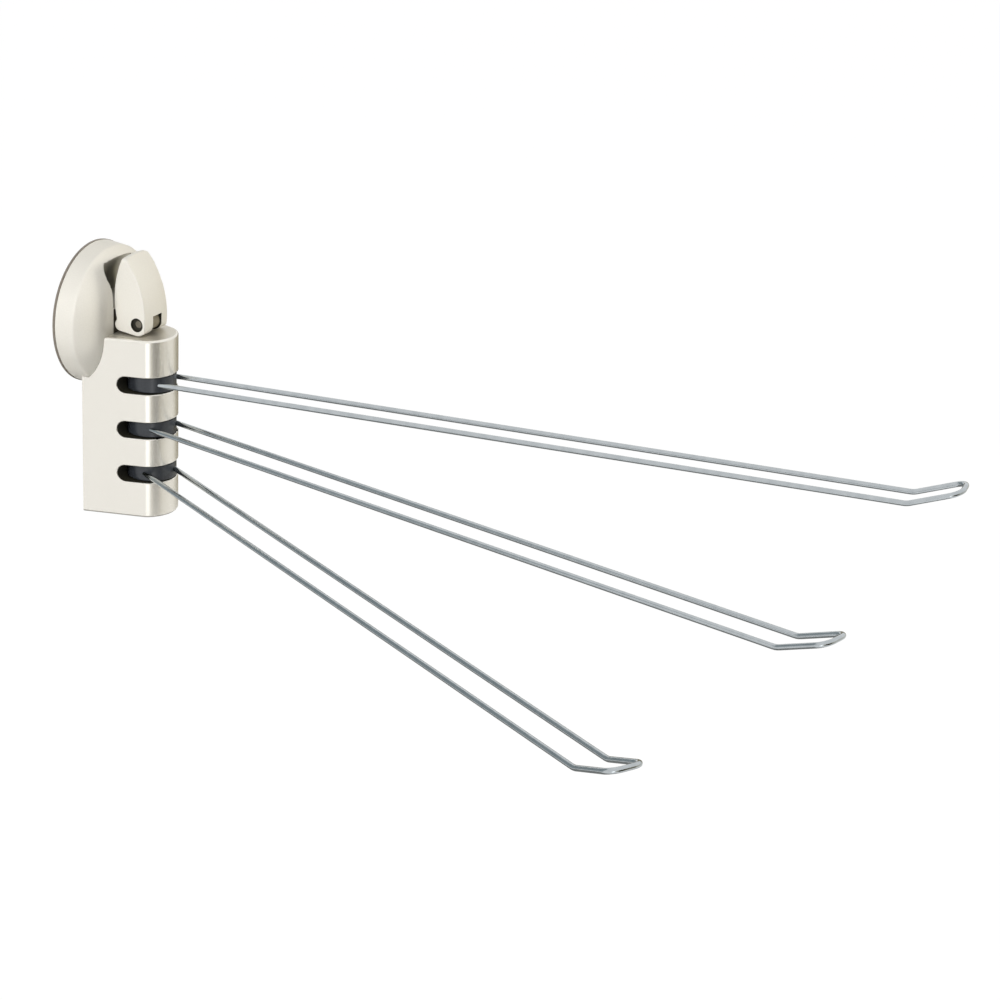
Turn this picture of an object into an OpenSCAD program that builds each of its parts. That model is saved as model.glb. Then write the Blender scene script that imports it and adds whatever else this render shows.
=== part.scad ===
// Swing-arm dish towel holder that stays on a smooth wall by a lever-locked suction cup.
// Z is up, X is to the right seen from the front, and the wall is the plane Y = 0.
// Everything stands out from the wall toward -Y. The word reach is the distance from the wall.

/* [Wall disc] */
// Diameter of the suction cup at its lip
cup_d = 60; // [57:0.5:64]
// Thickness of the cup's lip, which the cover's rim presses on the wall
cup_lip = 1; // [0.8:0.1:1.3]
// Depth of the hollow under the middle of the cup while the lever is open
cup_slack = 1; // [0.8:0.1:1.3]
// How far the cover's rim stays inside the lip
rim_inset = 0.2; // [0.1:0.1:0.6]
// How far the cover's side wall leans in from rim to shoulder
disc_draft = 1.3; // [0.8:0.1:2]
// Depth of the cover from its rim to its flat front
disc_depth = 14.8; // [14:0.1:16.5]
// Radius of the flat middle of the cover's front
front_flat_r = 14; // [13.5:0.1:15]
// Radius of the round shoulder between the flat front and the side wall
shoulder_r = 20.5; // [19.5:0.5:23]
// Wall thickness of the cover
cover_wall = 2; // [1.6:0.1:2.3]
// Half width of the finger recess behind the lever
recess_half_w = 11.3; // [10.5:0.1:12]
// Depth of the finger recess below the cover's front
recess_depth = 7; // [5.5:0.25:7.5]

/* [Lever] */
// Width of the lever at its foot
lever_w = 17.3; // [16:0.1:18.5]
// Width of the lever at its tip
lever_tip_w = 16.2; // [14:0.1:17]
// Height of the lever's tip above its pin
lever_h = 27.8; // [25:0.2:30]
// Radius of the round knuckle under the pin
knuckle_r = 4.7; // [4.4:0.05:5]
// How far the front of the lever stands ahead of the pin, at its side edges
lever_front = 3.9; // [3.6:0.05:4.1]
// How far the front of the lever bulges between its side edges
lever_crown = 0.9; // [0.5:0.05:0.95]
// Wall thickness of the lever's hollow shell
lever_wall = 2; // [1.6:0.1:2.4]
// Distance from the pin to the back of the cam foot
foot_reach = 10.7; // [10.4:0.1:11.2]
// Diameter of the lever's pin
lever_pin_d = 3; // [2.6:0.1:3.4]
// Diameter of the sink around each end of the lever's pin
pin_sink_d = 5.8; // [5:0.1:6.2]
// How far the stem moves to the wall as the lever opens
stem_travel = 2; // [1.5:0.1:2.2]
// Width of the stem's flat tongue
tongue_w = 6; // [5:0.1:6.6]
// Radius of the eye at the end of the tongue
eye_r = 3.8; // [3.4:0.1:4]

/* [Housing] */
// Distance from the wall to the housing's rear edge
housing_rear = 6.5; // [5.5:0.25:7.5]
// Width of the housing at its rear edge
housing_w = 37.6; // [36:0.2:40]
// Angle at which each side of the housing leans in toward the nose
side_lean = 15.6; // [14:0.2:17]
// Radius of the housing's round nose
nose_r = 13.4; // [13:0.1:14.4]
// Wall thickness of the housing
housing_wall = 2.2; // [1.8:0.1:2.6]
// Thickness of the shelf above and below each slot
web_t = 2; // [1.5:0.1:2.5]
// Radius on the housing's top and bottom edges
edge_r = 1; // [0.6:0.1:1.4]
// Distance from the housing's top to the middle of the first slot
first_slot = 19.8; // [19:0.2:22]
// Distance between slots
slot_pitch = 19.45; // [17.5:0.05:22]
// Distance from the middle of the last slot to the housing's bottom
last_slot = 19; // [16:0.5:24]
// Height of each slot
slot_h = 7.16; // [6.9:0.02:8]
// How far each slot runs behind the pivot
slot_back = 7.9; // [7.5:0.1:8.6]
// Thickness of the back plate
back_plate_t = 2; // [1.6:0.1:2.4]
// Diameter of the soft bumper that rests on the wall
bumper_d = 10; // [8:0.5:11]

/* [Swing arms] */
// Distance from the wall to the pivot pin
pivot_reach = 28.66; // [27.6:0.1:30.6]
// Diameter of the pivot pin
pivot_d = 4; // [3:0.1:4.6]
// Diameter of each hub
hub_d = 20.4; // [19.2:0.1:21]
// Thickness of each hub
hub_t = 6.6; // [5.6:0.1:6.7]
// Thickness of the washer under each hub
washer_t = 0.7; // [0.5:0.1:0.9]
// Diameter of the arm wire
wire_d = 2.2; // [1.8:0.1:2.6]
// Distance between the two runs of wire of one arm
wire_gap = 13.7; // [12.5:0.1:14.5]
// Length of an arm from the pivot to its bend
arm_run = 320.4; // [240:5:360]
// Length of the upturned tip
tip_run = 24.9; // [20:0.5:34]
// Angle of the upturned tip
tip_rise = 20; // [10:1:35]
// Radius of the two corners at the tip of an arm
tip_corner_r = 4.75; // [3.5:0.25:6]
// Angle of the top arm from straight out, to the left
top_angle = -7.1; // [-80:0.1:80]
// Angle of the middle arm from straight out, to the left
middle_angle = 13.1; // [-80:0.1:80]
// Angle of the bottom arm from straight out, to the left
bottom_angle = 30; // [-80:0.1:80]

/* [Fasteners] */
// Shank diameter of the four small screws
screw_d = 3; // [2.6:0.1:3.3]
// Head diameter of the four small screws
screw_head_d = 5.4; // [5:0.1:5.8]
// Diameter of the pivot pin's head
pivot_head_d = 7.2; // [6.4:0.1:8]

/* [Hidden] */
$fn = 96;

pearl = [0.86, 0.84, 0.79];
ink = [0.13, 0.14, 0.16];
chrome = [0.78, 0.80, 0.82];
soft_clear = [0.80, 0.84, 0.82];
steel = [0.62, 0.62, 0.60];

// Small clearances between pieces
fit = 0.05;
running = 0.06;
slip = 0.3;
cut = 0.02;
far = 80;

// Cup, which the locked lever pulls up by the stem's travel
cup_hollow = cup_slack + stem_travel;

// Cover
front_reach = cup_lip + disc_depth;
rim_r = cup_d / 2 - rim_inset;
shoulder_reach = front_reach - shoulder_r;
recess_floor = front_reach - recess_depth;
recess_low = 5.4;
recess_slope = 5.5;
recess_round = 12;
recess_round_z = 16.5;
recess_corner = 8;
recess_top = 26.5;
screw_boss_h = 6;

// Cam plate under the lever's foot
cam_plate_t = 0.8;
cam_plate_proud = -0.3;
cam_reach = front_reach + cam_plate_proud;
cam_plate_w = lever_w + 0.6;
cam_plate_h = recess_low * 2 - 0.8;

// Lever and stem
foot_gap = 0.5;
pin_reach = cam_reach + foot_gap + foot_reach;
foot_r = 2.6;
foot_drop = 1.2;
belly_back = foot_reach + 0.25;
belly_z = 10;
tip_back = 5.8;
brow_z = 2;
slot_room = 0.2;
back_arc_r = arc_radius(belly_back - tip_back, lever_h - belly_z);
front_arc_r = arc_radius(lever_front + tip_back, lever_h - brow_z);
crown_r = arc_radius(lever_crown, lever_w / 2);
pin_sink = 1.5;
eye_gap = 0.4;
notch_top = 3.3;
neck_r = 3.2;
flange_r = 4.8;
flange_t = 1.4;
boss_r = 6.5;
boss_h = 5;
boss_top = cup_hollow + boss_h;
flange_reach = cup_hollow + flange_t;

// Housing
housing_top = -(knuckle_r + 0.4);
slot_z = [for (i = [0:2]) housing_top - first_slot - i * slot_pitch];
housing_bottom = slot_z[2] - last_slot;
nose_gap = 0.25;
nose_reach = pivot_reach + hub_d / 2 + nose_gap;
nose_centre = nose_reach - nose_r;
hub_room_r = hub_d / 2 + 0.5;
web_back = pivot_reach - hub_room_r - 2.5;
pivot_boss_r = pivot_d / 2 + 2;
spine_t = 2;
plate_front = housing_rear + back_plate_t;
plate_screw_z = [(slot_z[0] + slot_z[1]) / 2, housing_bottom + 8.5];
cover_screw_x = 9.6;
cover_screw_z = housing_top - 11.6;
screw_boss_r = screw_d / 2 + 1.9;
screw_head_t = 1.4;
bumper_sink = 1;
bumper_z = housing_bottom + 20;

// Hubs and arms
washer_r = 5;
washer_seat = slot_h / 2 - hub_t / 2;
arm_angles = [top_angle, middle_angle, bottom_angle];
wire_depth = 6;
bend_r = 8;

// Radius of the arc that leaves a straight line and is rise away from it after run
function arc_radius(rise, run) = (rise * rise + run * run) / (2 * rise);

// Half width of the housing at a reach from the wall
function half_width(reach) = housing_w / 2 - (reach - housing_rear) * tan(side_lean);

// Profile with reach to the right and height up, extruded along X and centred on X = 0
module from_side(width) {
    rotate([90, 0, -90]) linear_extrude(width, center = true) children();
}

// Profile with radius to the right and reach up, turned about the disc's axis
module from_axis() {
    rotate([90, 0, 0]) rotate_extrude() children();
}

// Outline in X and Z, extruded away from the wall between two reaches
module from_front(near, deep) {
    translate([0, -near, 0]) rotate([90, 0, 0]) linear_extrude(deep - near) children();
}

// Plan outline in X and Y, extruded up between two heights
module from_above(low, high) {
    translate([0, 0, low]) linear_extrude(high - low) children();
}

// Round bar along X
module cross_bar(radius, length, reach, z) {
    translate([0, -reach, z]) rotate([0, 90, 0]) cylinder(r = radius, h = length, center = true);
}

// Round bar along the disc's axis between two reaches
module axial_bar(radius, near, deep, x, z) {
    translate([x, -near, z]) rotate([90, 0, 0]) cylinder(r = radius, h = deep - near);
}

// Points of an arc, from one angle to another
function arc(centre, r, from, to, steps) =
    [for (i = [0:steps]) let (a = from + (to - from) * i / steps) centre + r * [cos(a), sin(a)]];

// Radius of the cover's side wall at a reach from the wall
function side_r(reach) = rim_r - disc_draft * (reach - cup_lip) / disc_depth;

// Half section of the cover's outside from a low reach up, made larger or smaller by grow
module cover_section(grow, low) {
    high = front_reach + 2;
    intersection() {
        polygon([[0, low], [side_r(low) + grow, low], [side_r(high) + grow, high], [0, high]]);
        union() {
            square([front_flat_r, front_reach + grow]);
            translate([front_flat_r, shoulder_reach]) circle(shoulder_r + grow);
        }
    }
}

// Space that the cover takes, down to the wall, for cutting the pieces around it
module cover_space(grow) {
    from_axis() cover_section(grow, 0);
}

// Side section of the finger recess, with skin of material round it when that is not 0
module recess_section(skin) {
    floor_reach = recess_floor - skin;
    low = recess_low - skin;
    round_r = recess_round + skin;
    open_reach = floor_reach + round_r;
    polygon(concat([[open_reach, low], [front_reach, low], [floor_reach, low + recess_slope]],
        arc([open_reach, recess_round_z], round_r, 180, 90, 9)));
}

// Front outline of the finger recess with round upper corners
module recess_face(skin) {
    side = recess_half_w + skin;
    corner = recess_corner + skin;
    top = recess_top + skin;
    polygon(concat([[-side, 0]], arc([corner - side, top - corner], corner, 180, 90, 9),
        arc([side - corner, top - corner], corner, 90, 0, 9), [[side, 0]]));
}

module finger_recess(skin) {
    intersection() {
        from_side(2 * recess_half_w + 10) recess_section(skin);
        from_front(0, far) recess_face(skin);
    }
}

// Soft cup: a thin lip, a skirt that thickens to the middle, and a boss moulded round the stem's flange
module suction_cup() {
    lip_r = cup_d / 2;
    seal_w = 3;
    lip_w = 4;
    lip_ramp = 1;
    lip_step = 0.3;
    skirt_w = 8;
    skirt_t = 1.6;
    boss_foot = 1;
    boss_taper = 0.5;
    steps = 12;
    color(soft_clear) difference() {
        from_axis() polygon(concat(
            [for (i = [0:steps]) let (share = i / steps)
                [(lip_r - seal_w) * share, cup_hollow * (1 + cos(180 * share)) / 2]],
            [[lip_r, 0], [lip_r, cup_lip], [lip_r - lip_w, cup_lip],
             [lip_r - lip_w - lip_ramp, cup_lip + lip_step], [boss_r + skirt_w, cup_hollow + skirt_t],
             [boss_r + boss_foot, cup_hollow + skirt_t + boss_foot],
             [boss_r, cup_hollow + skirt_t + 2 * boss_foot],
             [boss_r - boss_taper, boss_top], [0, boss_top]]));
        from_axis() stem_section(fit * 2);
    }
}

// Half section of the stem's moulded-in flange and shank
module stem_section(grow) {
    translate([0, flange_reach - grow]) square([flange_r + grow, flange_t + 2 * grow]);
    square_top = boss_top + 1.5;
    translate([0, flange_reach]) square([neck_r + grow, square_top - flange_reach]);
}

module cup_stem() {
    shoulder = boss_top + 1.5;
    color("gainsboro") difference() {
        union() {
            from_axis() stem_section(0);
            from_side(tongue_w) {
                translate([shoulder - cut, -eye_r]) square([pin_reach - shoulder + cut, 2 * eye_r]);
                translate([pin_reach, 0]) circle(eye_r);
            }
        }
        cross_bar(lever_pin_d / 2 + running, far, pin_reach, 0);
    }
}

module disc_cover() {
    boss_low = front_reach - screw_boss_h;
    color(pearl) difference() {
        from_axis() cover_section(0, cup_lip);
        difference() {
            from_axis() cavity_section();
            finger_recess(cover_wall);
            stem_guide();
            for (x = [-1, 1])
                axial_bar(screw_head_d / 2 + 1.2, boss_low, far, x * cover_screw_x, cover_screw_z);
        }
        finger_recess(0);
        tongue_hole(0);
        cam_plate_outline(cam_reach - cam_plate_t - fit, far, slip / 2);
        for (x = [-1, 1]) {
            axial_bar(screw_d / 2 + fit, 0, far, x * cover_screw_x, cover_screw_z);
            axial_bar(screw_head_d / 2 + slip, 0, boss_low + screw_head_t + 0.4,
                      x * cover_screw_x, cover_screw_z);
        }
    }
}

// Half section of the space inside the cover, with the ring that presses the cup left standing in it
module cavity_section() {
    ring_r = cup_d / 2 - 6.5;
    difference() {
        cover_section(-cover_wall, cup_lip - 1);
        translate([ring_r, cup_lip + 1.8]) square([1.6, far]);
    }
}

// Hole for the stem's tongue
module tongue_hole(near) {
    from_front(near, far) square([tongue_w + 2 * slip, 2 * (eye_r + slip)], center = true);
}

// Sleeve that guides the tongue behind the cover's front
module stem_guide() {
    from_front(boss_top + 1.6, far)
        square([tongue_w + 2 * slip + 2 * cover_wall, 2 * (eye_r + slip) + 2 * cover_wall], center = true);
}

module cam_plate_outline(near, deep, grow) {
    from_front(near, deep) square([cam_plate_w + 2 * grow, cam_plate_h + 2 * grow], center = true);
}

module cam_plate() {
    color(steel) difference() {
        cam_plate_outline(cam_reach - cam_plate_t, cam_reach, 0);
        tongue_hole(0);
    }
}

// Solid bounded by the lever's crowned front, set back by skin
module crowned_front(skin) {
    turn_r = crown_r - skin;
    translate([0, -(pin_reach + lever_front + lever_crown - crown_r), 0]) rotate_extrude()
        intersection() {
            translate([crown_r - front_arc_r, brow_z]) circle(front_arc_r - skin);
            translate([turn_r - 24, -8]) square([30, lever_h + 10]);
        }
}

// Side outline of the lever: cam foot, round knuckle, open front and belly arc.
// The front is left wide here, because the crowned front trims it.
module lever_side() {
    pin = [pin_reach, 0];
    foot = [pin_reach - foot_reach + foot_r, -foot_drop];
    under = 270 - asin((knuckle_r - foot_r) / norm(pin - foot)) + atan2(foot_drop, foot_reach - foot_r);
    front = pin_reach + lever_front + lever_crown + 1;
    belly = [pin_reach - belly_back + back_arc_r, belly_z];
    waist_turn = 50;
    waist = asin((belly_z + foot_drop - foot_r * sin(waist_turn)) / back_arc_r);
    polygon(concat(arc(foot, foot_r, 180 - waist_turn, under, 12), arc(pin, knuckle_r, under, 360, 12),
        [[front, brow_z], [front, lever_h]],
        arc(belly, back_arc_r, 180 - asin((lever_h - belly_z) / back_arc_r), 180 + waist, 16)));
}

// Front outline of the lever, narrower and slightly arched at the tip
module lever_face() {
    arch_r = 60;
    intersection() {
        polygon([[-lever_w / 2, -knuckle_r], [lever_w / 2, -knuckle_r],
                 [lever_tip_w / 2, lever_h], [-lever_tip_w / 2, lever_h]]);
        translate([0, lever_h - 0.4 - arch_r]) circle(arch_r, $fn = 360);
    }
}

// Room for the tongue as the lever swings
module tongue_room() {
    low = -knuckle_r - 1;
    from_side(tongue_w + 2 * slot_room) {
        translate([pin_reach - foot_reach - 2, low]) square([foot_reach + 12, notch_top - low]);
        translate([pin_reach - foot_reach - 2, 0]) square([foot_reach + 2, eye_r + eye_gap]);
        translate([pin_reach, 0]) circle(eye_r + eye_gap);
    }
}

module lever() {
    hollow_low = eye_r + eye_gap + lever_wall;
    hollow_high = lever_h - 4.5;
    color(pearl) difference() {
        intersection() {
            from_side(lever_w) lever_side();
            from_front(pin_reach - foot_reach - 1, pin_reach + 10) lever_face();
            crowned_front(0);
        }
        intersection() {
            from_front(pin_reach - foot_reach - 2, pin_reach + 10)
                translate([-lever_tip_w / 2 + lever_wall, hollow_low])
                    square([lever_tip_w - 2 * lever_wall, hollow_high - hollow_low]);
            crowned_front(lever_wall + lever_crown);
        }
        tongue_room();
        cross_bar(lever_pin_d / 2, far, pin_reach, 0);
        for (x = [-1, 1]) translate([x * (lever_w / 2 - pin_sink + 5), 0, 0])
            cross_bar(pin_sink_d / 2, 10, pin_reach, 0);
    }
}

module lever_pin() {
    color(steel) cross_bar(lever_pin_d / 2, lever_w - 2 * pin_sink - 0.2, pin_reach, 0);
}

// Points of the housing's plan outline, inset millimetres inside its surface: a wedge with a round nose
function plan_points(inset) =
    let (rear = half_width(housing_rear) - inset / cos(side_lean),
         r = nose_r - inset,
         side = half_width(nose_centre) * cos(side_lean) - inset,
         end = asin(min(1, side / r)) - side_lean,
         steps = 28)
    concat([[-rear, -housing_rear]],
        [for (i = [0:steps]) let (a = end * (2 * i / steps - 1)) [r * sin(a), -nose_centre - r * cos(a)]],
        [[rear, -housing_rear]]);

module housing_plan(inset) {
    polygon(plan_points(inset));
}

// Outer body with rounded top and bottom edges
module housing_block() {
    steps = 4;
    slice = 0.1;
    hull() for (i = [0:steps], top = [0, 1]) {
        angle = 90 * i / steps;
        rise = edge_r * (1 - sin(angle));
        z = top == 1 ? housing_top - rise - slice : housing_bottom + rise;
        translate([0, 0, z]) linear_extrude(slice) housing_plan(edge_r * (1 - cos(angle)));
    }
}

// Slot for one hub, open at both sides and at the nose
module arm_slot(z) {
    centre = pivot_reach - slot_back + slot_h / 2;
    from_side(far) translate([0, z]) {
        translate([centre, 0]) circle(slot_h / 2);
        translate([centre, -slot_h / 2]) square([far, slot_h]);
    }
    translate([0, -pivot_reach, z]) cylinder(r = hub_room_r, h = slot_h, center = true);
}

// Shelves above and below each slot
module slot_webs() {
    for (z = slot_z) from_above(z - slot_h / 2 - web_t, z + slot_h / 2 + web_t) intersection() {
        housing_plan(housing_wall / 2);
        translate([-far / 2, -far - web_back]) square(far);
    }
}

module housing() {
    inside_low = housing_bottom + housing_wall;
    inside_high = housing_top - housing_wall;
    pilot_r = screw_d / 2;
    color(pearl) difference() {
        union() {
            difference() {
                housing_block();
                from_above(inside_low, inside_high) intersection() {
                    housing_plan(housing_wall);
                    translate([-far / 2, -nose_reach]) square([far, nose_reach]);
                }
                from_above(inside_low, inside_high) translate([0, -housing_rear])
                    square([2 * (half_width(housing_rear) - housing_wall / cos(side_lean)), 2 * cut],
                           center = true);
            }
            slot_webs();
            translate([0, -pivot_reach, inside_low - cut])
                cylinder(r = pivot_boss_r, h = inside_high - inside_low + 2 * cut);
            translate([0, -pivot_reach, inside_low - cut]) cylinder(r = pivot_head_d / 2 + 1.6, h = 3);
            from_above(inside_low - cut, inside_high + cut) translate([-spine_t / 2, -pivot_reach])
                square([spine_t, pivot_reach - plate_front - fit]);
            for (z = plate_screw_z) axial_bar(screw_boss_r, plate_front + fit, web_back + 8, 0, z);
            for (x = [-1, 1]) axial_bar(screw_boss_r, cup_lip, pivot_reach - 2,
                                        x * cover_screw_x, cover_screw_z);
        }
        for (z = slot_z) arm_slot(z);
        cover_space(fit);
        translate([0, -pivot_reach, housing_bottom - cut]) cylinder(r = pivot_d / 2 + fit,
            h = housing_top - housing_bottom - housing_wall + cut);
        translate([0, -pivot_reach, housing_bottom - cut]) cylinder(r = pivot_head_d / 2 + fit * 2, h = 2.4);
        for (z = plate_screw_z) axial_bar(pilot_r, 0, web_back + 6, 0, z);
        for (x = [-1, 1]) axial_bar(pilot_r, 0, pivot_reach - 6, x * cover_screw_x, cover_screw_z);
    }
}

module back_plate() {
    color(pearl) difference() {
        from_above(housing_bottom + housing_wall + slip / 2, housing_top) intersection() {
            housing_plan(housing_wall + slip / 2);
            translate([-far / 2, -plate_front]) square([far, back_plate_t]);
        }
        cover_space(slip);
        for (z = plate_screw_z) {
            axial_bar(screw_d / 2 + fit, 0, far, 0, z);
            axial_bar(screw_head_d / 2 + fit * 2, 0, housing_rear + screw_head_t, 0, z);
        }
        axial_bar(bumper_d / 2 + fit, 0, housing_rear + bumper_sink, 0, bumper_z);
    }
}

// Soft pad with a rounded end on the wall
module wall_bumper() {
    round_r = 0.8;
    deep = housing_rear + bumper_sink;
    color("dimgray") translate([0, 0, bumper_z]) from_axis() {
        square([bumper_d / 2 - round_r, deep]);
        translate([0, round_r]) square([bumper_d / 2, deep - round_r]);
        translate([bumper_d / 2 - round_r, round_r]) circle(round_r);
    }
}

// Pan head screw along the disc's axis with its head toward the wall
module small_screw(head_reach, tip_reach, x, z) {
    recess_w = 0.7;
    difference() {
        union() {
            axial_bar(screw_head_d / 2, head_reach, head_reach + screw_head_t, x, z);
            axial_bar(screw_d / 2 - fit, head_reach, tip_reach, x, z);
        }
        for (turn = [0, 90]) translate([x, -head_reach, z]) rotate([0, turn, 0])
            cube([recess_w, 1.4, screw_head_d * 0.6], center = true);
    }
}

module cover_screws() {
    head = front_reach - screw_boss_h + 0.4;
    color(steel) for (x = [-1, 1]) small_screw(head, pivot_reach - 6.5, x * cover_screw_x, cover_screw_z);
}

module back_plate_screws() {
    color(steel) for (z = plate_screw_z) small_screw(housing_rear, web_back + 5.5, 0, z);
}

module pivot_pin() {
    head_t = 1.8;
    head_low = housing_bottom + 2.4 - head_t - fit;
    color(steel) translate([0, -pivot_reach, 0]) difference() {
        union() {
            translate([0, 0, head_low]) cylinder(r = pivot_head_d / 2, h = head_t);
            translate([0, 0, head_low])
                cylinder(r = pivot_d / 2, h = housing_top - housing_wall - 0.5 - head_low);
        }
        for (turn = [0, 90]) translate([0, 0, head_low]) rotate(turn) cube([0.9, 4, 1.8], center = true);
    }
}

module hub_washer(i) {
    color("silver") translate([0, -pivot_reach, slot_z[i] - slot_h / 2]) difference() {
        cylinder(r = washer_r, h = washer_t);
        translate([0, 0, -cut]) cylinder(r = pivot_d / 2 + fit * 2, h = washer_t + 2 * cut);
    }
}

// Places its children, drawn about the pivot with the arm along -Y, at the rest angle of arm i
module on_arm(i) {
    translate([0, -pivot_reach, slot_z[i]]) rotate(-arm_angles[i]) children();
}

// Disc that turns on the pivot pin, bored for the pin and the two wire ends
module arm_hub(i) {
    round_r = 0.4;
    color(ink) on_arm(i) difference() {
        rotate_extrude() {
            square_r = hub_d / 2 - round_r;
            translate([0, -hub_t / 2]) square([square_r, hub_t]);
            translate([0, round_r - hub_t / 2]) square([hub_d / 2, hub_t - 2 * round_r]);
            for (z = [-1, 1]) translate([square_r, z * (hub_t / 2 - round_r)]) circle(round_r);
        }
        cylinder(r = pivot_d / 2 + running, h = hub_t + 1, center = true);
        translate([0, 0, -hub_t / 2 - cut])
            cylinder(r = washer_r + slip, h = washer_t - washer_seat + 0.08 + cut);
        for (x = [-1, 1]) translate([x * wire_gap / 2, wire_depth + fit, 0]) rotate([90, 0, 0])
            cylinder(r = wire_d / 2 + running / 2, h = hub_d);
    }
}

// Stations along half of an arm's wire, from its end in the hub to the middle of the tip.
// Each is [point, direction, lift], where lift is the slope of the plane that the wire bends in.
function half_wire() =
    let (bend_run = bend_r * tan(tip_rise / 2), x = wire_gap / 2, steps = 6)
    concat(
        [[[x, wire_depth, 0], [0, -1, 0], 0]],
        [for (i = [0:steps]) let (a = tip_rise * i / steps)
            [[x, bend_run - arm_run - bend_r * sin(a), bend_r * (1 - cos(a))], [0, -cos(a), sin(a)], a]],
        [for (i = [0:steps]) let (a = 90 * i / steps, run = tip_run - tip_corner_r * (1 - sin(a)))
            [[x - tip_corner_r * (1 - cos(a)), -arm_run - run * cos(tip_rise), run * sin(tip_rise)],
             [-sin(a), -cos(a) * cos(tip_rise), cos(a) * sin(tip_rise)], tip_rise]]);

// The same stations on the other side, in the order that carries on to the second end
function other_half(half) = [for (i = [len(half) - 1:-1:0]) let (s = half[i])
    [[-s[0][0], s[0][1], s[0][2]], [s[1][0], -s[1][1], -s[1][2]], s[2]]];

// Ring of points round one station
function wire_ring(station, sides) =
    let (up = [0, sin(station[2]), cos(station[2])], across = cross(station[1], up))
    [for (k = [0:sides - 1]) let (a = 360 * k / sides)
        station[0] + wire_d / 2 * (cos(a) * across + sin(a) * up)];

// One wire, bent to a loop: two level runs, an upturned tip and two corners
module arm_wire(i) {
    sides = 18;
    half = half_wire();
    stations = concat(half, other_half(half));
    last = (len(stations) - 1) * sides;
    color(chrome) on_arm(i) polyhedron(
        points = [for (s = stations) each wire_ring(s, sides)],
        faces = concat(
            [[for (k = [0:sides - 1]) k], [for (k = [sides - 1:-1:0]) last + k]],
            [for (n = [0:len(stations) - 2], k = [0:sides - 1])
                let (a = n * sides + k, b = n * sides + (k + 1) % sides)
                each [[a, a + sides, b], [b, a + sides, b + sides]]]));
}

suction_cup();
cup_stem();
disc_cover();
cam_plate();
lever();
lever_pin();
housing();
back_plate();
wall_bumper();
cover_screws();
back_plate_screws();
pivot_pin();
hub_washer(0);  // hub_washer_top
hub_washer(1);  // hub_washer_middle
hub_washer(2);  // hub_washer_bottom
arm_hub(0);  // arm_hub_top
arm_hub(1);  // arm_hub_middle
arm_hub(2);  // arm_hub_bottom
arm_wire(0);  // arm_wire_top
arm_wire(1);  // arm_wire_middle
arm_wire(2);  // arm_wire_bottom
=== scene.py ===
"""Swing-arm dish towel holder on a lever-locked suction disc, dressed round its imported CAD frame."""
import math

import bmesh
import bpy
from mathutils import Matrix, Vector


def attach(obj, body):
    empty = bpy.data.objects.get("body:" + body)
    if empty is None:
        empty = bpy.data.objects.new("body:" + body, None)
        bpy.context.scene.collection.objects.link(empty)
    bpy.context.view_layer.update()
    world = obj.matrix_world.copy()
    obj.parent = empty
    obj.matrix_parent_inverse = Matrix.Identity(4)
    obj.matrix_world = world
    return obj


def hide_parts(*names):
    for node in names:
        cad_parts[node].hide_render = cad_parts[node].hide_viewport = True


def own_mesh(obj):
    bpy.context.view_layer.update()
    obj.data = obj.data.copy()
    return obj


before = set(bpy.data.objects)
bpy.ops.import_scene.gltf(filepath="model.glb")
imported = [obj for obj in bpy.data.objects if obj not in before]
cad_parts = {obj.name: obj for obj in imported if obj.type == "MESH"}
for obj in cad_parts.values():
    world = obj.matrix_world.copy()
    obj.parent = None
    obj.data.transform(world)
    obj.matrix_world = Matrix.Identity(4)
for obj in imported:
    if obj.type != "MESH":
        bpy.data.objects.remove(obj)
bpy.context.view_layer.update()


# Studio: a white paper sweep under a white sky, with soft boxes left, right and above, and cards that
# only glossy surfaces see, for the bands on the pearl and the wires. The long lens stands at the front
# left and looks down on the holder a little.
studio = bpy.context.scene
studio.view_settings.view_transform = "Standard"

camera = bpy.data.objects.new("camera", bpy.data.cameras.new("camera"))
camera.data.lens = 99.95
camera.data.sensor_width = 36
camera.location = (-0.92704, -0.63392, 0.3455)
camera.rotation_euler = [math.radians(turn) for turn in (69.1497, -2.4673, -63.5606)]
studio.collection.objects.link(camera)
studio.camera = camera


def white_to_the_lens(tree, shaded):
    """Mix that a lens, a mirror or glass sees as plain white, and that lights matt things as shaded."""
    path = tree.nodes.new("ShaderNodeLightPath")
    seen = tree.nodes.new("ShaderNodeMath")
    mirrored = tree.nodes.new("ShaderNodeMath")
    seen.operation = mirrored.operation = "MAXIMUM"
    tree.links.new(path.outputs["Is Camera Ray"], seen.inputs[0])
    tree.links.new(path.outputs["Is Glossy Ray"], mirrored.inputs[0])
    tree.links.new(path.outputs["Is Transmission Ray"], mirrored.inputs[1])
    tree.links.new(mirrored.outputs[0], seen.inputs[1])
    mix = tree.nodes.new("ShaderNodeMixShader")
    tree.links.new(seen.outputs[0], mix.inputs[0])
    tree.links.new(shaded, mix.inputs[1])
    return mix


world = bpy.data.worlds.new("white_sky")
world.use_nodes = True
studio.world = world
sky = world.node_tree
fill = sky.nodes["Background"]
fill.inputs["Color"].default_value = (1, 0.9, 0.66, 1)
fill.inputs["Strength"].default_value = 0.05
plain = sky.nodes.new("ShaderNodeBackground")
plain.inputs["Color"].default_value = (1, 1, 1, 1)
plain.inputs["Strength"].default_value = 1
seen_sky = white_to_the_lens(sky, fill.outputs[0])
sky.links.new(plain.outputs[0], seen_sky.inputs[2])
sky.links.new(seen_sky.outputs[0], sky.nodes["World Output"].inputs["Surface"])


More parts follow.
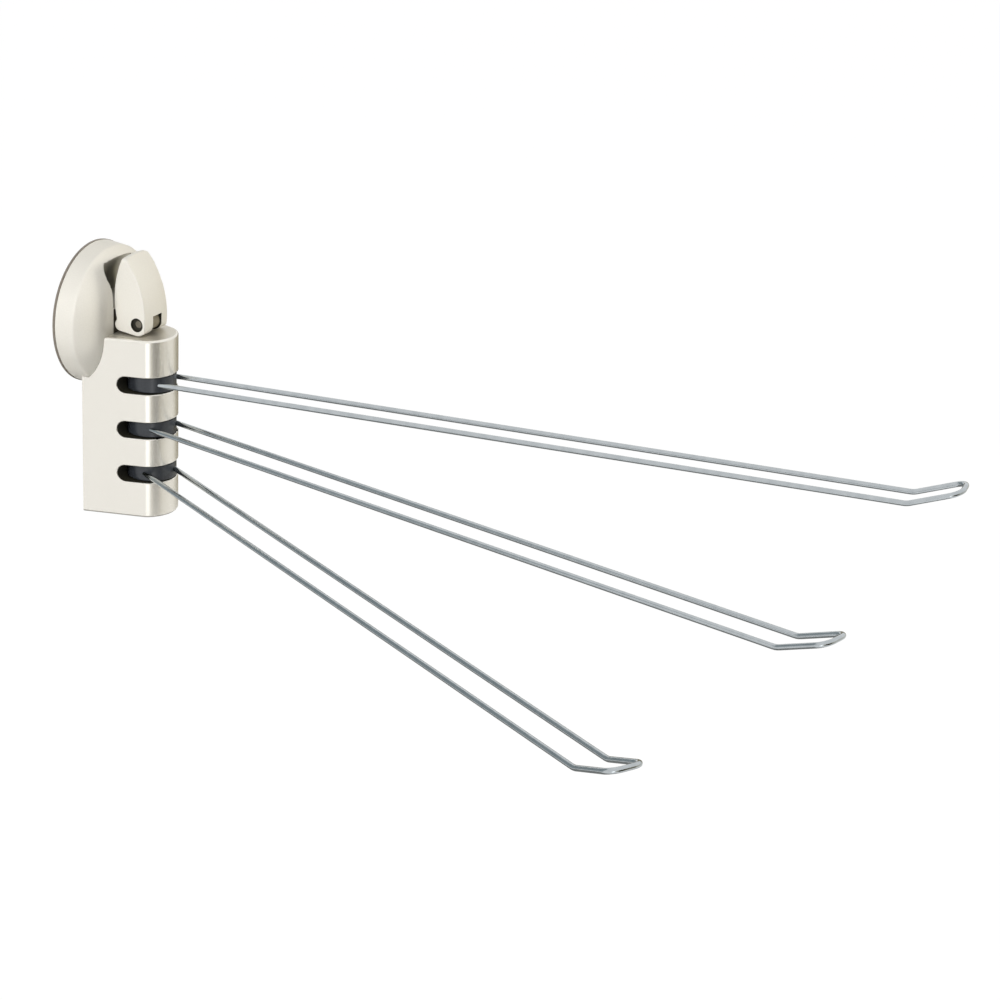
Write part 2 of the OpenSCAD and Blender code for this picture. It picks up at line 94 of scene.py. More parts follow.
def soft_box(name, place, size, watts, colour=(1, 1, 1), mirrored=False):
    """Flat lamp aimed at the holder. Only a mirrored one is seen in glossy surfaces."""
    lamp = bpy.data.lights.new(name, "AREA")
    lamp.shape = "RECTANGLE"
    lamp.size, lamp.size_y = size
    lamp.energy = watts
    lamp.color = colour
    stand = bpy.data.objects.new(name, lamp)
    stand.location = place
    aim = Vector((0, -0.03, -0.04)) - stand.location
    stand.rotation_euler = aim.to_track_quat("-Z", "Y").to_euler()
    stand.visible_camera = False
    stand.visible_glossy = mirrored
    studio.collection.objects.link(stand)


soft_box("left_box", (-1.08, 0, 0.47), (0.8, 0.6), 10.5)
soft_box("right_box", (0.69, -0.91, 0.37), (0.2, 0.3), 9.5, (1, 0.97, 0.88))
soft_box("top_box", (-0.5, -0.1, 1.0), (0.6, 0.6), 3.6)
soft_box("low_strip", (-0.73, -0.5, -0.31), (0.18, 0.6), 0.4, mirrored=True)


def placed(name, mesh):
    """Makes an object from a bmesh, which is used up."""
    made = bpy.data.objects.new(name, bpy.data.meshes.new(name))
    mesh.to_mesh(made.data)
    mesh.free()
    studio.collection.objects.link(made)
    return made


def glowing_card(name, mesh):
    """Makes a card that only glossy surfaces see, and gives it and its glow."""
    card = placed(name, mesh)
    felt = bpy.data.materials.new(name)
    felt.use_nodes = True
    tree = felt.node_tree
    lit = tree.nodes.new("ShaderNodeEmission")
    tree.links.new(lit.outputs[0], tree.nodes["Material Output"].inputs["Surface"])
    card.data.materials.append(felt)
    card.visible_camera = card.visible_diffuse = card.visible_shadow = False
    return card, lit


def shaded_card(name, corner, turn, height, tint, shades):
    """Curved upright card. Its shades follow the turn round the holder."""
    mesh = bmesh.new()
    foot = mesh.verts.new(corner)
    head = mesh.verts.new(Vector(corner) + Vector((0, 0, height)))
    edge = mesh.edges.new((foot, head))
    bmesh.ops.spin(mesh, geom=[edge, foot, head], cent=(0, 0, 0), axis=(0, 0, 1), angle=math.radians(turn),
                   steps=48, use_duplicate=False)
    card, lit = glowing_card(name, mesh)
    tree = card.data.materials[0].node_tree
    place = tree.nodes.new("ShaderNodeTexCoord")
    round_about = tree.nodes.new("ShaderNodeTexGradient")
    round_about.gradient_type = "RADIAL"
    ramp = tree.nodes.new("ShaderNodeValToRGB")
    while len(ramp.color_ramp.elements) < len(shades):
        ramp.color_ramp.elements.new(0.5)
    for stop, (bearing, shade) in zip(ramp.color_ramp.elements, shades):
        stop.position = bearing / 360 + 0.5
        stop.color = [shade ** power for power in tint] + [1]
    tree.links.new(place.outputs["Object"], round_about.inputs["Vector"])
    tree.links.new(round_about.outputs["Color"], ramp.inputs["Fac"])
    tree.links.new(ramp.outputs["Color"], lit.inputs["Color"])


cards_foot = -0.41

# Bearings of the cards' shades are in degrees from +X, and -90 is straight out from the wall
shaded_card("front_card", (-0.59, -0.611, cards_foot), 158, 0.46, (1, 1.08, 1.35),
            ((-134, 0.7), (-126, 0.56), (-123, 0.05), (-102, 0.05), (-96, 0.42), (-89, 0.64), (-72, 0.74),
             (-55, 0.86), (-40, 0.84), (-26, 0.6), (-14, 0.28), (24, 0.24)))
shaded_card("wall_card", (0.55, 0.71, cards_foot), 92, 1.5, (1.12, 1, 0.96),
            ((52, 0.36), (118, 0.4), (144, 0.6)))

floor_card = bmesh.new()
bmesh.ops.create_circle(floor_card, cap_ends=True, segments=64, radius=0.46)
bmesh.ops.translate(floor_card, vec=(0.06, 0.04, -0.405), verts=floor_card.verts)
low_card, dim = glowing_card("low_card", floor_card)
dim.inputs["Color"].default_value = (0.3, 0.3, 0.29, 1)

floor_mesh = bmesh.new()
bmesh.ops.create_grid(floor_mesh, x_segments=1, y_segments=1, size=4)
bmesh.ops.translate(floor_mesh, vec=(0, 0, -0.42), verts=floor_mesh.verts)
floor = placed("floor", floor_mesh)
paper = bpy.data.materials.new("floor_paper")
paper.use_nodes = True
sheet = paper.node_tree
matt = sheet.nodes["Principled BSDF"]
matt.inputs["Base Color"].default_value = (0.9, 0.9, 0.9, 1)
matt.inputs["Roughness"].default_value = 0.9
glow = sheet.nodes.new("ShaderNodeEmission")
glow.inputs["Color"].default_value = (1, 1, 1, 1)
glow.inputs["Strength"].default_value = 1.04
half = sheet.nodes.new("ShaderNodeMixShader")
half.inputs[0].default_value = 0.96
sheet.links.new(matt.outputs[0], half.inputs[1])
sheet.links.new(glow.outputs[0], half.inputs[2])
seen_floor = white_to_the_lens(sheet, matt.outputs[0])
sheet.links.new(half.outputs[0], seen_floor.inputs[2])
sheet.links.new(seen_floor.outputs[0], sheet.nodes["Material Output"].inputs["Surface"])
floor.data.materials.append(paper)


# Suction cup: one moulding of soft clear PVC with a thin lip, a skirt that thickens to the middle
# and a boss moulded round the stem's flange. Its lip is the fine dark edge line round the disc, partly
# painted shade.
def turn_round(mesh, axis, steps):
    """Spins all that a bmesh holds one full turn, closes the seam and the poles and faces it outwards."""
    bmesh.ops.spin(mesh, geom=mesh.verts[:] + mesh.edges[:], cent=(0, 0, 0), axis=axis, angle=math.tau,
                   steps=steps, use_merge=True)
    bmesh.ops.remove_doubles(mesh, verts=mesh.verts, dist=2e-6)
    bmesh.ops.recalc_face_normals(mesh, faces=mesh.faces)


def chain_of(mesh, points):
    """Joins points of (radius, reach) in millimetres into a chain beside the disc's axis."""
    corners = [mesh.verts.new((radius / 1000, -reach / 1000, 0)) for radius, reach in points]
    for pair in zip(corners, corners[1:]):
        mesh.edges.new(pair)
    return corners


def finish_of(name, rough, metal=0.0):
    """New finish with one shader, ready for its pattern."""
    made = bpy.data.materials.new(name)
    made.use_nodes = True
    shader = made.node_tree.nodes["Principled BSDF"]
    shader.inputs["Roughness"].default_value = rough
    shader.inputs["Metallic"].default_value = metal
    return made, shader


def mottle(made, shader, scale, low, high, rough, relief):
    """Moves a finish's colour, roughness and surface a little with a noise of that scale per metre."""
    grain_height = 0.00005
    tree = made.node_tree
    place = tree.nodes.new("ShaderNodeTexCoord")
    noise = tree.nodes.new("ShaderNodeTexNoise")
    noise.inputs["Scale"].default_value = scale
    noise.inputs["Detail"].default_value = 3
    tree.links.new(place.outputs["Object"], noise.inputs["Vector"])
    ramp = tree.nodes.new("ShaderNodeValToRGB")
    ramp.color_ramp.elements[0].position = 0.3
    ramp.color_ramp.elements[1].position = 0.7
    ramp.color_ramp.elements[0].color = (*low, 1)
    ramp.color_ramp.elements[1].color = (*high, 1)
    tree.links.new(noise.outputs["Fac"], ramp.inputs["Fac"])
    tree.links.new(ramp.outputs["Color"], shader.inputs["Base Color"])
    spread = tree.nodes.new("ShaderNodeMapRange")
    spread.inputs["To Min"].default_value, spread.inputs["To Max"].default_value = rough
    tree.links.new(noise.outputs["Fac"], spread.inputs["Value"])
    tree.links.new(spread.outputs["Result"], shader.inputs["Roughness"])
    raised = tree.nodes.new("ShaderNodeBump")
    raised.inputs["Strength"].default_value = relief
    raised.inputs["Distance"].default_value = grain_height
    tree.links.new(noise.outputs["Fac"], raised.inputs["Height"])
    tree.links.new(raised.outputs["Normal"], shader.inputs["Normal"])
    return ramp


def set_in_place(name, mesh, finishes, body, node):
    """Makes the finished piece from its bmesh, in place of one CAD node and riding on its body."""
    piece = placed(name, mesh)
    for finish in finishes:
        piece.data.materials.append(finish)
    piece.data.shade_smooth()
    piece.data.set_sharp_from_angle(angle=math.radians(32))
    even = piece.modifiers.new("even", "WEIGHTED_NORMAL")
    even.keep_sharp = True
    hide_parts(node)
    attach(piece, body)
    return piece


# The clear PVC is coloured opaque dark brown: partly its own tint, partly painted shade of the gap round
# its lip
soft, soft_shader = finish_of("soft_pvc", 0.35)
mottle(soft, soft_shader, 700, (0.19, 0.165, 0.135), (0.25, 0.22, 0.185), (0.3, 0.42), 0.05)

cup = bmesh.new()
hollow_points = [(27 * share / 12, 1.5 * (1 + math.cos(math.pi * share / 12))) for share in range(13)]
chain_of(cup, hollow_points + [(30, 0), (30, 0.85), (29.85, 1), (26, 1), (25, 1.3), (14.5, 4.6), (7.5, 5.6),
                               (6.5, 6.6), (6, 8), (3.3, 8), (3.3, 5.9), (4.9, 5.9), (4.9, 3.6), (0, 3.6)])
turn_round(cup, (0, 1, 0), 128)
cup_piece = set_in_place("soft_cup", cup, [soft], "wall_unit", "suction_cup")
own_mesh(cup_piece)


# Stem: a flange moulded into the cup and a flat tongue with an eye for the lever's pin, in stiff
# glass-filled plastic. The lever's foot pulls it out to tension the cup.
def dress(finish, *nodes):
    """Gives CAD nodes their finish. Their shapes stay as they are."""
    for node in nodes:
        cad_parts[node].data.materials.clear()
        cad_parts[node].data.materials.append(finish)


stem_resin, stem_shader = finish_of("stem_plastic", 0.45)
mottle(stem_resin, stem_shader, 1500, (0.20, 0.175, 0.12), (0.26, 0.23, 0.165), (0.4, 0.55), 0.1)
dress(stem_resin, "cup_stem")


# Disc cover: a round moulded ABS shell in satin pearl nickel paint, with a flat middle, a wide round
# shoulder and a finger recess behind the lever. Its rim presses the cup's lip on the wall.
pearl_tints = ((0.785, 0.76, 0.695), (0.825, 0.80, 0.735))
pearl, pearl_shader = finish_of("pearl_abs", 0.42, metal=0.12)
mottle(pearl, pearl_shader, 2600, *pearl_tints, (0.38, 0.46), 0.08)
# Near-black finish for the faces that cuts leave inside slots, hollows, holes and pockets: painted shade
inside_shade, inside_shade_shader = finish_of("pearl_abs_inside_shade", 0.6)
mottle(inside_shade, inside_shade_shader, 1500, (0.014, 0.013, 0.008), (0.024, 0.022, 0.014), (0.5, 0.7), 0.15)


# Painted shade: the recess's colour darkens towards its floor and towards the middle behind the lever,
# where shade falls
recess_shade, recess_shade_shader = finish_of("pearl_abs_recess_shade", 0.5)
recess_shade_ramp = mottle(recess_shade, recess_shade_shader, 2600, *pearl_tints, (0.46, 0.56), 0.08)
deep = recess_shade.node_tree
depth_place = deep.nodes.new("ShaderNodeTexCoord")
split = deep.nodes.new("ShaderNodeSeparateXYZ")
deep.links.new(depth_place.outputs["Object"], split.inputs[0])
fade = deep.nodes.new("ShaderNodeMapRange")
fade.interpolation_type = "SMOOTHSTEP"
fade.inputs["From Min"].default_value = -0.0148
fade.inputs["From Max"].default_value = -0.0088
deep.links.new(split.outputs["Y"], fade.inputs["Value"])
aside = deep.nodes.new("ShaderNodeMath")
aside.operation = "ABSOLUTE"
deep.links.new(split.outputs["X"], aside.inputs[0])
middle = deep.nodes.new("ShaderNodeMapRange")
middle.interpolation_type = "SMOOTHSTEP"
middle.inputs["From Min"].default_value = 0.0135
middle.inputs["From Max"].default_value = 0
deep.links.new(aside.outputs[0], middle.inputs["Value"])
both = deep.nodes.new("ShaderNodeMath")
both.operation = "MULTIPLY"
deep.links.new(fade.outputs["Result"], both.inputs[0])
deep.links.new(middle.outputs["Result"], both.inputs[1])
painted_shade = deep.nodes.new("ShaderNodeMix")
painted_shade.data_type = "RGBA"
# Dark colour of the recess's painted shade
painted_shade.inputs[7].default_value = (0.16, 0.147, 0.1, 1)
deep.links.new(both.outputs[0], painted_shade.inputs[0])
deep.links.new(recess_shade_ramp.outputs["Color"], painted_shade.inputs[6])
deep.links.new(painted_shade.outputs[2], recess_shade_shader.inputs["Base Color"])


def arc_on(mesh, start, centre, axis, turn, steps):
    """Spins a point round a centre, in millimetres and degrees, and gives the arc's points in order."""
    first = mesh.verts.new([length / 1000 for length in start])
    count = len(mesh.verts)
    bmesh.ops.spin(mesh, geom=[first], cent=[length / 1000 for length in centre], axis=axis,
                   angle=math.radians(turn), steps=steps)
    mesh.verts.ensure_lookup_table()
    return [first] + mesh.verts[count:]


def prism(mesh, chains, push):
    """Closes chains of points into one outline and pushes it out into a solid."""
    ring = []
    for chain in chains:
        ring += [mesh.verts.new([length / 1000 for length in point]) if isinstance(point, tuple) else point
                 for point in chain]
    face = mesh.faces.new(ring)
    pushed = bmesh.ops.extrude_face_region(mesh, geom=[face])
    moved = [part for part in pushed["geom"] if isinstance(part, bmesh.types.BMVert)]
    bmesh.ops.translate(mesh, vec=[length / 1000 for length in push], verts=moved)
    bmesh.ops.recalc_face_normals(mesh, faces=mesh.faces)


def block(mesh, low, high):
    """Adds a rectangular block between two corners in millimetres."""
    x, y, z = low
    ring = [(x, y, z), (high[0], y, z), (high[0], high[1], z), (x, high[1], z)]
    prism(mesh, [ring], (0, 0, high[2] - z))


def bar(mesh, radius, start, end, sides=64):
    """Adds a round bar between two points in millimetres."""
    run = Vector(end) - Vector(start)
    middle = (Vector(start) + Vector(end)) / 2000
    turn = Vector((0, 0, 1)).rotation_difference(run).to_matrix().to_4x4()
    bmesh.ops.create_cone(mesh, cap_ends=True, segments=sides, radius1=radius / 1000, radius2=radius / 1000,
                          depth=run.length / 1000, matrix=Matrix.Translation(middle) @ turn)


def in_order(mesh):
    """Sorts a mesh along a slanted line, because a cut gives its points in a new order each run."""
    slant = Vector((1, 1.618034, 0.577216))
    mesh.verts.sort(key=lambda vert: slant.dot(vert.co))
    mesh.edges.sort(key=lambda edge: slant.dot(edge.verts[0].co + edge.verts[1].co))
    mesh.faces.sort(key=lambda face: slant.dot(face.calc_center_median()))
    for parts in (mesh.verts, mesh.edges, mesh.faces):
        parts.index_update()


same_place = 4e-6


def carve(mesh, tool, how="DIFFERENCE", tool_side=1):
    """Cuts a tool out of a solid, or keeps what both hold. Cut faces take the tool side's finish number."""
    for face in tool.faces:
        face.material_index = tool_side
    pair = []
    for part in (mesh, tool):
        held = placed("blank", part)
        for finish in (pearl, inside_shade, inside_shade):
            held.data.materials.append(finish)
        pair.append(held)
    cut = pair[0].modifiers.new("cut", "BOOLEAN")
    cut.operation = how
    cut.solver = "EXACT"
    cut.object = pair[1]
    bpy.context.view_layer.update()
    shaped = pair[0].evaluated_get(bpy.context.evaluated_depsgraph_get())
    result = bmesh.new()
    result.from_mesh(shaped.to_mesh())
    shaped.to_mesh_clear()
    for held in pair:
        spent = held.data
        bpy.data.objects.remove(held)
        bpy.data.meshes.remove(spent)
    in_order(result)
    bmesh.ops.remove_doubles(result, verts=result.verts, dist=same_place)
    bmesh.ops.dissolve_degenerate(result, edges=result.edges, dist=same_place)
    return result


def soften(mesh, edges, width, segments=3, slide=True):
    """Rounds the given edges to a width in millimetres."""
    return bmesh.ops.bevel(mesh, geom=edges, offset=width / 1000, segments=segments, profile=0.5,
                           affect="EDGES", material=-1, clamp_overlap=False, loop_slide=slide)["faces"]


def rims(mesh):
    """Edges between the outer skin and what tools of the first side cut."""
    return [edge for edge in mesh.edges if len(edge.link_faces) == 2
            and {face.material_index for face in edge.link_faces} == {0, 1}]


shoulder_centre = (14, 4.7, 0)
shoulder_turn = 47.36
shoulder_end = 29.08
cover_front = 15.8
cover = bmesh.new()
shoulder = arc_on(cover, (14, -cover_front, 0), shoulder_centre, (0, 0, 1), shoulder_turn, 20)
axis_point = cover.verts.new((0, -cover_front / 1000, 0))
cover.edges.new((axis_point, shoulder[0]))
inside = chain_of(cover, [(29.8, 1), (27.8, 1), (27.3, 6.6), (9, 6.6), (9, 9.5), (0, 9.5)])
cover.edges.new((shoulder[-1], inside[0]))
turn_round(cover, (0, 1, 0), 144)
shoulder_edge = [edge for edge in cover.edges
                 if all(abs(math.hypot(v.co.x, v.co.z) - shoulder_end / 1000) < 6e-5 and v.co.y < -0.008
                        for v in edge.verts)]
soften(cover, shoulder_edge, 0.6, 4)
rim_edge = [edge for edge in cover.edges
            if all(math.hypot(v.co.x, v.co.z) > 0.0297 and v.co.y > -0.0011 for v in edge.verts)]
soften(cover, rim_edge, 0.2)

scoop_side = 17
scoop = bmesh.new()
curve = arc_on(scoop, (-scoop_side, -8.8, 16.5), (-scoop_side, -20.8, 16.5), (-1, 0, 0), -90, 16)
prism(scoop, [[(-scoop_side, -20.8, 5.4), (-scoop_side, -15.8, 5.4), (-scoop_side, -8.8, 10.9)], curve],
      (2 * scoop_side, 0, 0))
window = bmesh.new()
left_waist = arc_on(window, (-9.3, -5, 9), (-29.3, -5, 9), (0, 1, 0), -26, 10)
left_corner = arc_on(window, (-11.6, -5, 20), (-6, -5, 20), (0, 1, 0), 90, 16)
right_corner = arc_on(window, (6, -5, 25.6), (6, -5, 20), (0, 1, 0), 90, 16)
right_waist = arc_on(window, (11.324, -5, 17.767), (29.3, -5, 9), (0, 1, 0), -26, 10)
prism(window, [[(-9.3, -5, 0)], left_waist, left_corner, right_corner, right_waist,
               [(9.3, -5, 0)]], (0, -20, 0))
scoop = carve(scoop, window, "INTERSECT")
cover = carve(cover, scoop)
pocket = bmesh.new()
block(pocket, (-9.1, -20, -5.15), (9.1, -14.65, 5.15))
cover = carve(cover, pocket, tool_side=2)
tongue_way = bmesh.new()
block(tongue_way, (-3.3, -20, -4.1), (3.3, -5, 4.1))
cover = carve(cover, tongue_way, tool_side=2)
beside = {v for edge in rims(cover) for face in edge.link_faces for v in face.verts if v.co.z > 0.006}
bmesh.ops.remove_doubles(cover, verts=[v for v in cover.verts if v in beside], dist=3.2e-4)
soften(cover, [edge for edge in rims(cover) if max(v.co.z for v in edge.verts) > 0.0056], 0.24)
for face in cover.faces:
    face.material_index = (0, 2, 1)[face.material_index]
set_in_place("cover_shell", cover, [pearl, inside_shade, recess_shade], "wall_unit", "disc_cover")


# Cam plate: a thin wear plate of steel, let into a pocket in the cover's front. The lever's cam foot
# stands and slides on it.
# The steel's colour is dark and brownish, well below bright steel: painted shade for the pin ends in the
# lever's sunk holes, used on every steel part
steel, steel_shader = finish_of("pin_steel", 0.35, metal=1.0)
mottle(steel, steel_shader, 1500, (0.19, 0.17, 0.135), (0.26, 0.235, 0.19), (0.3, 0.45), 0.1)
dress(steel, "cam_plate")


# Lever: a hollow ABS moulding in the same paint, with a cam foot on the plate, a round knuckle at
# the pin, a gently crowned front and a belly behind for the finger. Upright is locked.
pin_reach = 26.7
lever_side = 8.75
blank_top = 28.8
lever = bmesh.new()
foot = arc_on(lever, (-lever_side, -16.929, 0.792), (-lever_side, -18.6, -1.2), (-1, 0, 0), 133.57, 12)
knuckle = arc_on(lever, (-lever_side, -26.173, -4.670), (-lever_side, -pin_reach, 0), (-1, 0, 0), 96.43, 14)
belly = arc_on(lever, (-lever_side, -20.12, blank_top), (-lever_side, -56.25, 10.5), (-1, 0, 0), 40.4, 20)
prism(lever, [foot, knuckle, [(-lever_side, -32.5, 2), (-lever_side, -32.5, blank_top)], belly],
      (2 * lever_side, 0, 0))
face_outline = bmesh.new()
left_tip = arc_on(face_outline, (-8.13, -14, 25.868), (-6.63, -14, 25.868), (0, 1, 0), 77.4, 6)
tip_arch = arc_on(face_outline, (-6.196, -14, 27.492), (0, -14, -3.8), (0, 1, 0), 22.4, 12)
right_tip = arc_on(face_outline, (6.957, -14, 27.332), (6.63, -14, 25.868), (0, 1, 0), 77.4, 6)
prism(face_outline, [[(-8.74, -14, -10)], left_tip, tip_arch, right_tip, [(8.74, -14, -10)]], (0, -22, 0))
lever = carve(lever, face_outline, "INTERSECT", 0)


def crowned(mesh, start, turn, near):
    """Wedge of a barrel whose round front is the lever's, from a start point on its middle line."""
    middle = arc_on(mesh, start, (0, 7.661, 2), (-1, 0, 0), turn, 28)
    ring = middle + [mesh.verts.new((0, near / 1000, height)) for height in (middle[-1].co.z, -0.008)]
    face = mesh.faces.new(ring)
    axis_place = (0, 0.010518, 0)
    half_turn = 26
    bmesh.ops.rotate(mesh, verts=mesh.verts, cent=axis_place,
                     matrix=Matrix.Rotation(math.radians(-half_turn), 3, "Z"))
    bmesh.ops.spin(mesh, geom=[face], cent=axis_place, axis=(0, 0, 1), angle=math.radians(2 * half_turn),
                   steps=52)
    bmesh.ops.recalc_face_normals(mesh, faces=mesh.faces)


barrel = bmesh.new()
crowned(barrel, (0, -30.202, -8), 60.02, -7.5)
lever = carve(lever, barrel, "INTERSECT", 0)
bmesh.ops.remove_doubles(lever, verts=lever.verts, dist=1.5e-4)
corners = [edge for edge in lever.edges if edge.is_manifold and edge.calc_face_angle() > 0.6]
soften(lever, corners, 0.4, 4, slide=False)
room = bmesh.new()
crowned(room, (0, -27.194, -8), 66.06, -4.5)
bay = bmesh.new()
block(bay, (-6.1, -36, 6.2), (6.1, -14, 23.3))
lever = carve(lever, carve(room, bay, "INTERSECT"))
gap_side = 3.2
gap = bmesh.new()
over_eye = arc_on(gap, (-gap_side, -29.298, 3.3), (-gap_side, -pin_reach, 0), (1, 0, 0), -38.21, 8)
prism(gap, [[(-gap_side, -14, -5.7), (-gap_side, -36.7, -5.7), (-gap_side, -36.7, 3.3)], over_eye,
            [(-gap_side, -14, 4.2)]], (2 * gap_side, 0, 0))
lever = carve(lever, gap)
for side in (-1, 1):
    sink = bmesh.new()
    bar(sink, 2.9, (side * 7.15, -pin_reach, 0), (side * 12, -pin_reach, 0))
    lever = carve(lever, sink)
eye = bmesh.new()
bar(eye, 1.5, (-9, -pin_reach, 0), (9, -pin_reach, 0), 48)
lever = carve(lever, eye)
for face in soften(lever, rims(lever), 0.15, 2):
    face.material_index = 0
bmesh.ops.remove_doubles(lever, verts=lever.verts, dist=same_place)
bmesh.ops.holes_fill(lever, edges=[edge for edge in lever.edges if edge.is_boundary], sides=10)
set_in_place("lever_shell", lever, [pearl, inside_shade], "lever_arm", "lever")


# Lever pin: a plain turned pin of steel. It goes through the lever's foot and the eye of the stem's
# tongue, and its ends stay sunk in the lever's round holes.
dress(steel, "lever_pin")


# Housing: one tapered ABS moulding, painted pearl outside only, with a round nose and three slots.
# It is screwed to the cover from inside, and its slots and hollow are coloured near black as painted shade.
bright_pearl, bright_shader = finish_of("pearl_abs_bright", 0.27, metal=0.8)
mottle(bright_pearl, bright_shader, 2600, (0.80, 0.773, 0.71), (0.85, 0.823, 0.76), (0.26, 0.28), 0.01)
# Rougher and darker copy of the pearl for the housing's top face: painted shade from the lever and the disc
blurred_shaded_pearl, blurred_shaded_shader = finish_of("pearl_abs_top_shaded", 0.42, metal=0.8)
mottle(blurred_shaded_pearl, blurred_shaded_shader, 2600, (0.62, 0.59, 0.515), (0.67, 0.64, 0.565), (0.4, 0.5), 0.08)

low_end = -82.8
housing = bmesh.new()
left_blend = arc_on(housing, (-11.851, -31.386, low_end), (-5.34, -29.568, low_end), (0, 0, 1), 20.2, 5)
nose = arc_on(housing, (-10.451, -34.096, low_end), (0, -25.71, low_end), (0, 0, 1), 102.514, 38)
right_blend = arc_on(housing, (10.823, -33.522, low_end), (5.34, -29.568, low_end), (0, 0, 1), 20.2, 5)
prism(housing, [[(-18.8, -6.5, low_end)], left_blend, nose, right_blend, [(18.8, -6.5, low_end)]],
      (0, 0, 77.7))
ends = [edge for edge in housing.edges if abs(edge.verts[0].co.z - edge.verts[1].co.z) < 1e-6
        and not all(v.co.y > -0.0066 for v in edge.verts)]
soften(housing, ends, 1, 5)

pivot_reach = 28.66
slot_levels = (-24.9, -44.35, -63.8)
half_slot = 3.58
slots_side = 30
slots = bmesh.new()
rooms = bmesh.new()
for z in slot_levels:
    back_round = arc_on(slots, (-slots_side, -24.34, z + half_slot), (-slots_side, -24.34, z), (-1, 0, 0),
                        180, 24)
    prism(slots, [back_round, [(-slots_side, -60, z - half_slot), (-slots_side, -60, z + half_slot)]],
          (2 * slots_side, 0, 0))
    bar(rooms, 10.7, (0, -pivot_reach, z - half_slot), (0, -pivot_reach, z + half_slot), 96)
housing = carve(housing, slots)
housing = carve(housing, rooms)
hollow_end = -80.6
hollow = bmesh.new()
prism(hollow, [[(-16.656, -6, hollow_end), (-14.01, -15.46, hollow_end), (14.01, -15.46, hollow_end),
                (16.656, -6, hollow_end)]], (0, 0, 73.3))
housing = carve(housing, hollow)
space_front = 15.85
space = bmesh.new()
around = arc_on(space, (14, -space_front, 0), shoulder_centre, (0, 0, 1), shoulder_turn, 20)
tip = chain_of(space, [(0, space_front)])[0]
space.edges.new((tip, around[0]))
wall_end = chain_of(space, [(29.938, 0), (0, 0)])
space.edges.new((around[-1], wall_end[0]))
turn_round(space, (0, 1, 0), 144)
housing = carve(housing, space)
bore = bmesh.new()
bar(bore, 2.05, (0, -pivot_reach, -84), (0, -pivot_reach, -7.3), 48)
housing = carve(housing, bore)
bore = bmesh.new()
bar(bore, 3.7, (0, -pivot_reach, -84), (0, -pivot_reach, -80.4))
housing = carve(housing, bore)
bmesh.ops.remove_doubles(housing, verts=housing.verts, dist=2e-5)
for face in soften(housing, rims(housing), 0.45):
    face.material_index = 0
# The top face takes the darker copy of the pearl, as painted shade
for face in housing.faces:
    if face.normal.z > 0.99 and face.calc_center_median().z > -0.0056:
        face.material_index = 2
set_in_place("housing_shell", housing, [bright_pearl, inside_shade, blurred_shaded_pearl], "wall_unit", "housing")


# Back plate: a flat moulding of ABS in the cover's paint, which closes the rear of the housing. Two
# small screws hold it.
dress(pearl, "back_plate")


# Wall bumper: a button of black rubber, let into the back plate. It rests on the wall and takes the
# arms' load.
rubber, rubber_shader = finish_of("bumper_rubber", 0.7)
mottle(rubber, rubber_shader, 1200, (0.018, 0.018, 0.018), (0.03, 0.03, 0.03), (0.6, 0.8), 0.2)
dress(rubber, "wall_bumper")


# Screws and pivot pin: zinc-plated steel. Two screws hold the housing to the cover, two hold the
# back plate, and the headed pin goes up through all three hubs.
dress(steel, "cover_screws", "back_plate_screws", "pivot_pin")


# Hub washers: three thin rings of white nylon. Each lies in its slot round the pivot pin, and its hub
# turns on it.
nylon, nylon_shader = finish_of("washer_nylon", 0.4)
mottle(nylon, nylon_shader, 1500, (0.68, 0.68, 0.66), (0.74, 0.74, 0.72), (0.35, 0.5), 0.1)
dress(nylon, "hub_washer_top", "hub_washer_middle", "hub_washer_bottom")


# Arm hubs: three discs of blue black acetal, bored for the pivot pin and for the two wire ends,
# which are pressed in from the front.
ink, ink_shader = finish_of("hub_plastic", 0.3)
mottle(ink, ink_shader, 1800, (0.025, 0.028, 0.034), (0.035, 0.04, 0.048), (0.2, 0.3), 0.1)
arms = tuple(zip(("top", "middle", "bottom"), slot_levels, (-7.1, 13.1, 30)))
wire_aside = 6.85


def to_arm(mesh, height, angle):
    """Moves what is modelled about the pivot, with the arm straight out, to its slot and its angle."""
    pivot = Matrix.Translation((0, -pivot_reach / 1000, height / 1000))
    place = pivot @ Matrix.Rotation(math.radians(-angle), 4, "Z")
    bmesh.ops.transform(mesh, matrix=place, verts=mesh.verts)


for name, height, angle in arms:
    hub = bmesh.new()
    section = [(2.06, 3.3), (10.2, 3.3), (10.2, -3.3), (5.3, -3.3), (5.3, -2.8), (2.06, -2.8)]
    ring = [hub.verts.new((radius / 1000, 0, z / 1000)) for radius, z in section]
    for start, end in zip(ring, ring[1:] + ring[:1]):
        hub.edges.new((start, end))
    turn_round(hub, (0, 0, 1), 128)
    outer = [edge for edge in hub.edges if all(math.hypot(v.co.x, v.co.y) > 0.0101 for v in edge.verts)
             and abs(edge.verts[0].co.z - edge.verts[1].co.z) < 1e-6]
    soften(hub, outer, 0.4, 4)
    bores = bmesh.new()
    for side in (-wire_aside, wire_aside):
        bar(bores, 1.105, (side, 6.05, 0), (side, -12, 0), 32)
    hub = carve(hub, bores)
    for face in hub.faces:
        face.material_index = 0
    to_arm(hub, height, angle)
    set_in_place("hub_" + name, hub, [ink], name + "_arm", "arm_hub_" + name)


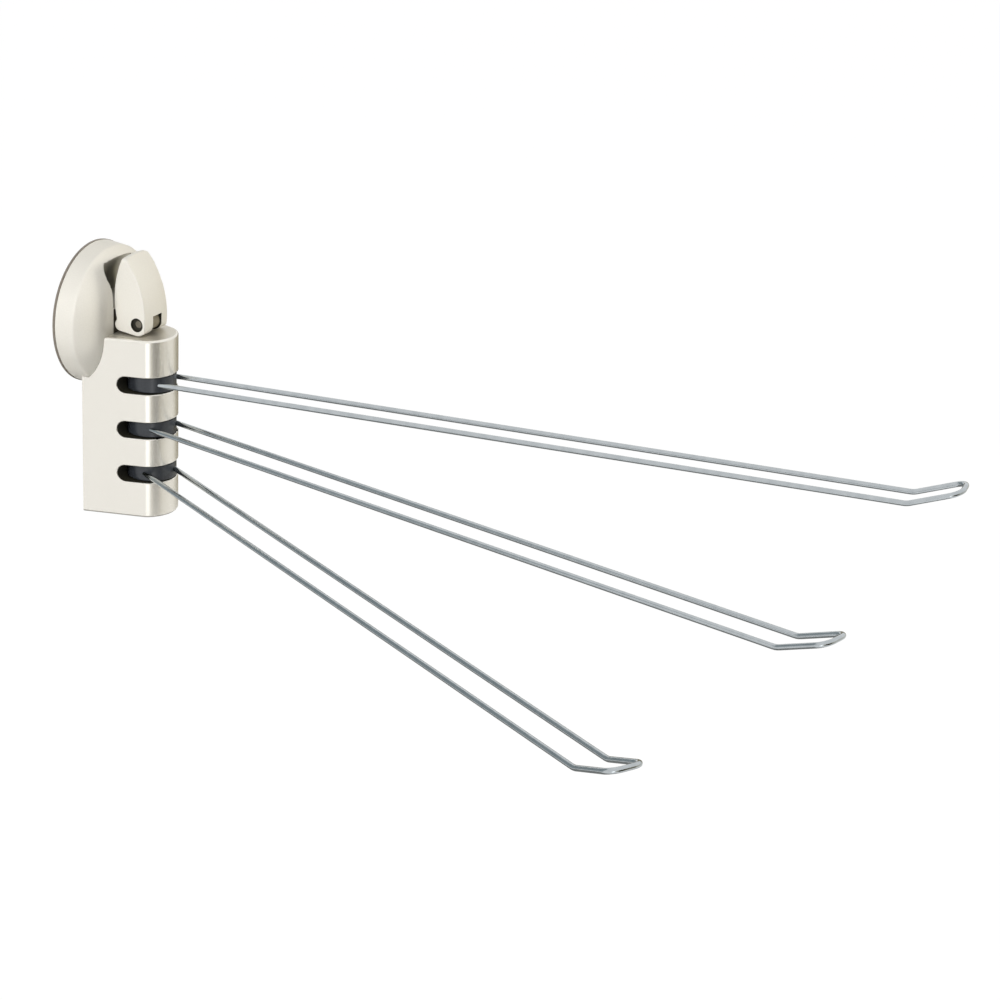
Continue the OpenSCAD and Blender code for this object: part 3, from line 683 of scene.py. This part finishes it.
# Arm wires: each is one chromed steel wire, 2.2 mm thick, bent to a long loop with an upturned end. Its
# two ends are pressed into the hub's bores.
chrome, chrome_shader = finish_of("chrome_wire", 0.1, metal=1.0)
mottle(chrome, chrome_shader, 300, (0.438, 0.47, 0.488), (0.508, 0.54, 0.558), (0.12, 0.2), 0.01)


def run_on(mesh, ring, step):
    """Draws a tube's open end on in a straight line and gives its new end."""
    drawn = bmesh.ops.extrude_edge_only(mesh, edges=ring)["geom"]
    moved = [part for part in drawn if isinstance(part, bmesh.types.BMVert)]
    bmesh.ops.translate(mesh, vec=[length / 1000 for length in step], verts=moved)
    return [part for part in drawn if isinstance(part, bmesh.types.BMEdge)
            and all(v in moved for v in part.verts)]


def bend_on(mesh, ring, centre, axis, turn, steps):
    """Bends a tube's open end on round a centre and gives its new end."""
    spun = bmesh.ops.spin(mesh, geom=ring, cent=[length / 1000 for length in centre], axis=axis,
                          angle=math.radians(turn), steps=steps)
    return [part for part in spun["geom_last"] if isinstance(part, bmesh.types.BMEdge)]


tip_turn = 20
tip_aside = 2.1
rise = Vector((0, -math.cos(math.radians(tip_turn)), math.sin(math.radians(tip_turn))))
for name, height, angle in arms:
    wire = bmesh.new()
    upright = Matrix.Translation((wire_aside / 1000, 0.006, 0)) @ Matrix.Rotation(math.radians(90), 4, "X")
    bmesh.ops.create_circle(wire, cap_ends=False, segments=32, radius=0.0011, matrix=upright)
    end = run_on(wire, wire.edges[:], (0, -324.989, 0))
    end = bend_on(wire, end, (wire_aside, -318.989, 8), (-1, 0, 0), tip_turn, 8)
    end = run_on(wire, end, rise * 15.539)
    end = bend_on(wire, end, (tip_aside, -336.328, 5.798), (0, -rise.z, rise.y), 90, 14)
    run_on(wire, end, (-tip_aside, 0, 0))
    bmesh.ops.mirror(wire, geom=wire.verts[:] + wire.edges[:] + wire.faces[:], matrix=Matrix.Identity(4),
                     merge_dist=1e-6, axis="X")
    bmesh.ops.remove_doubles(wire, verts=wire.verts, dist=1e-6)
    bmesh.ops.holes_fill(wire, edges=wire.edges, sides=0)
    bmesh.ops.recalc_face_normals(wire, faces=wire.faces)
    to_arm(wire, height, angle)
    set_in_place("wire_" + name, wire, [chrome], name + "_arm", "arm_wire_" + name)

bpy.context.view_layer.update()
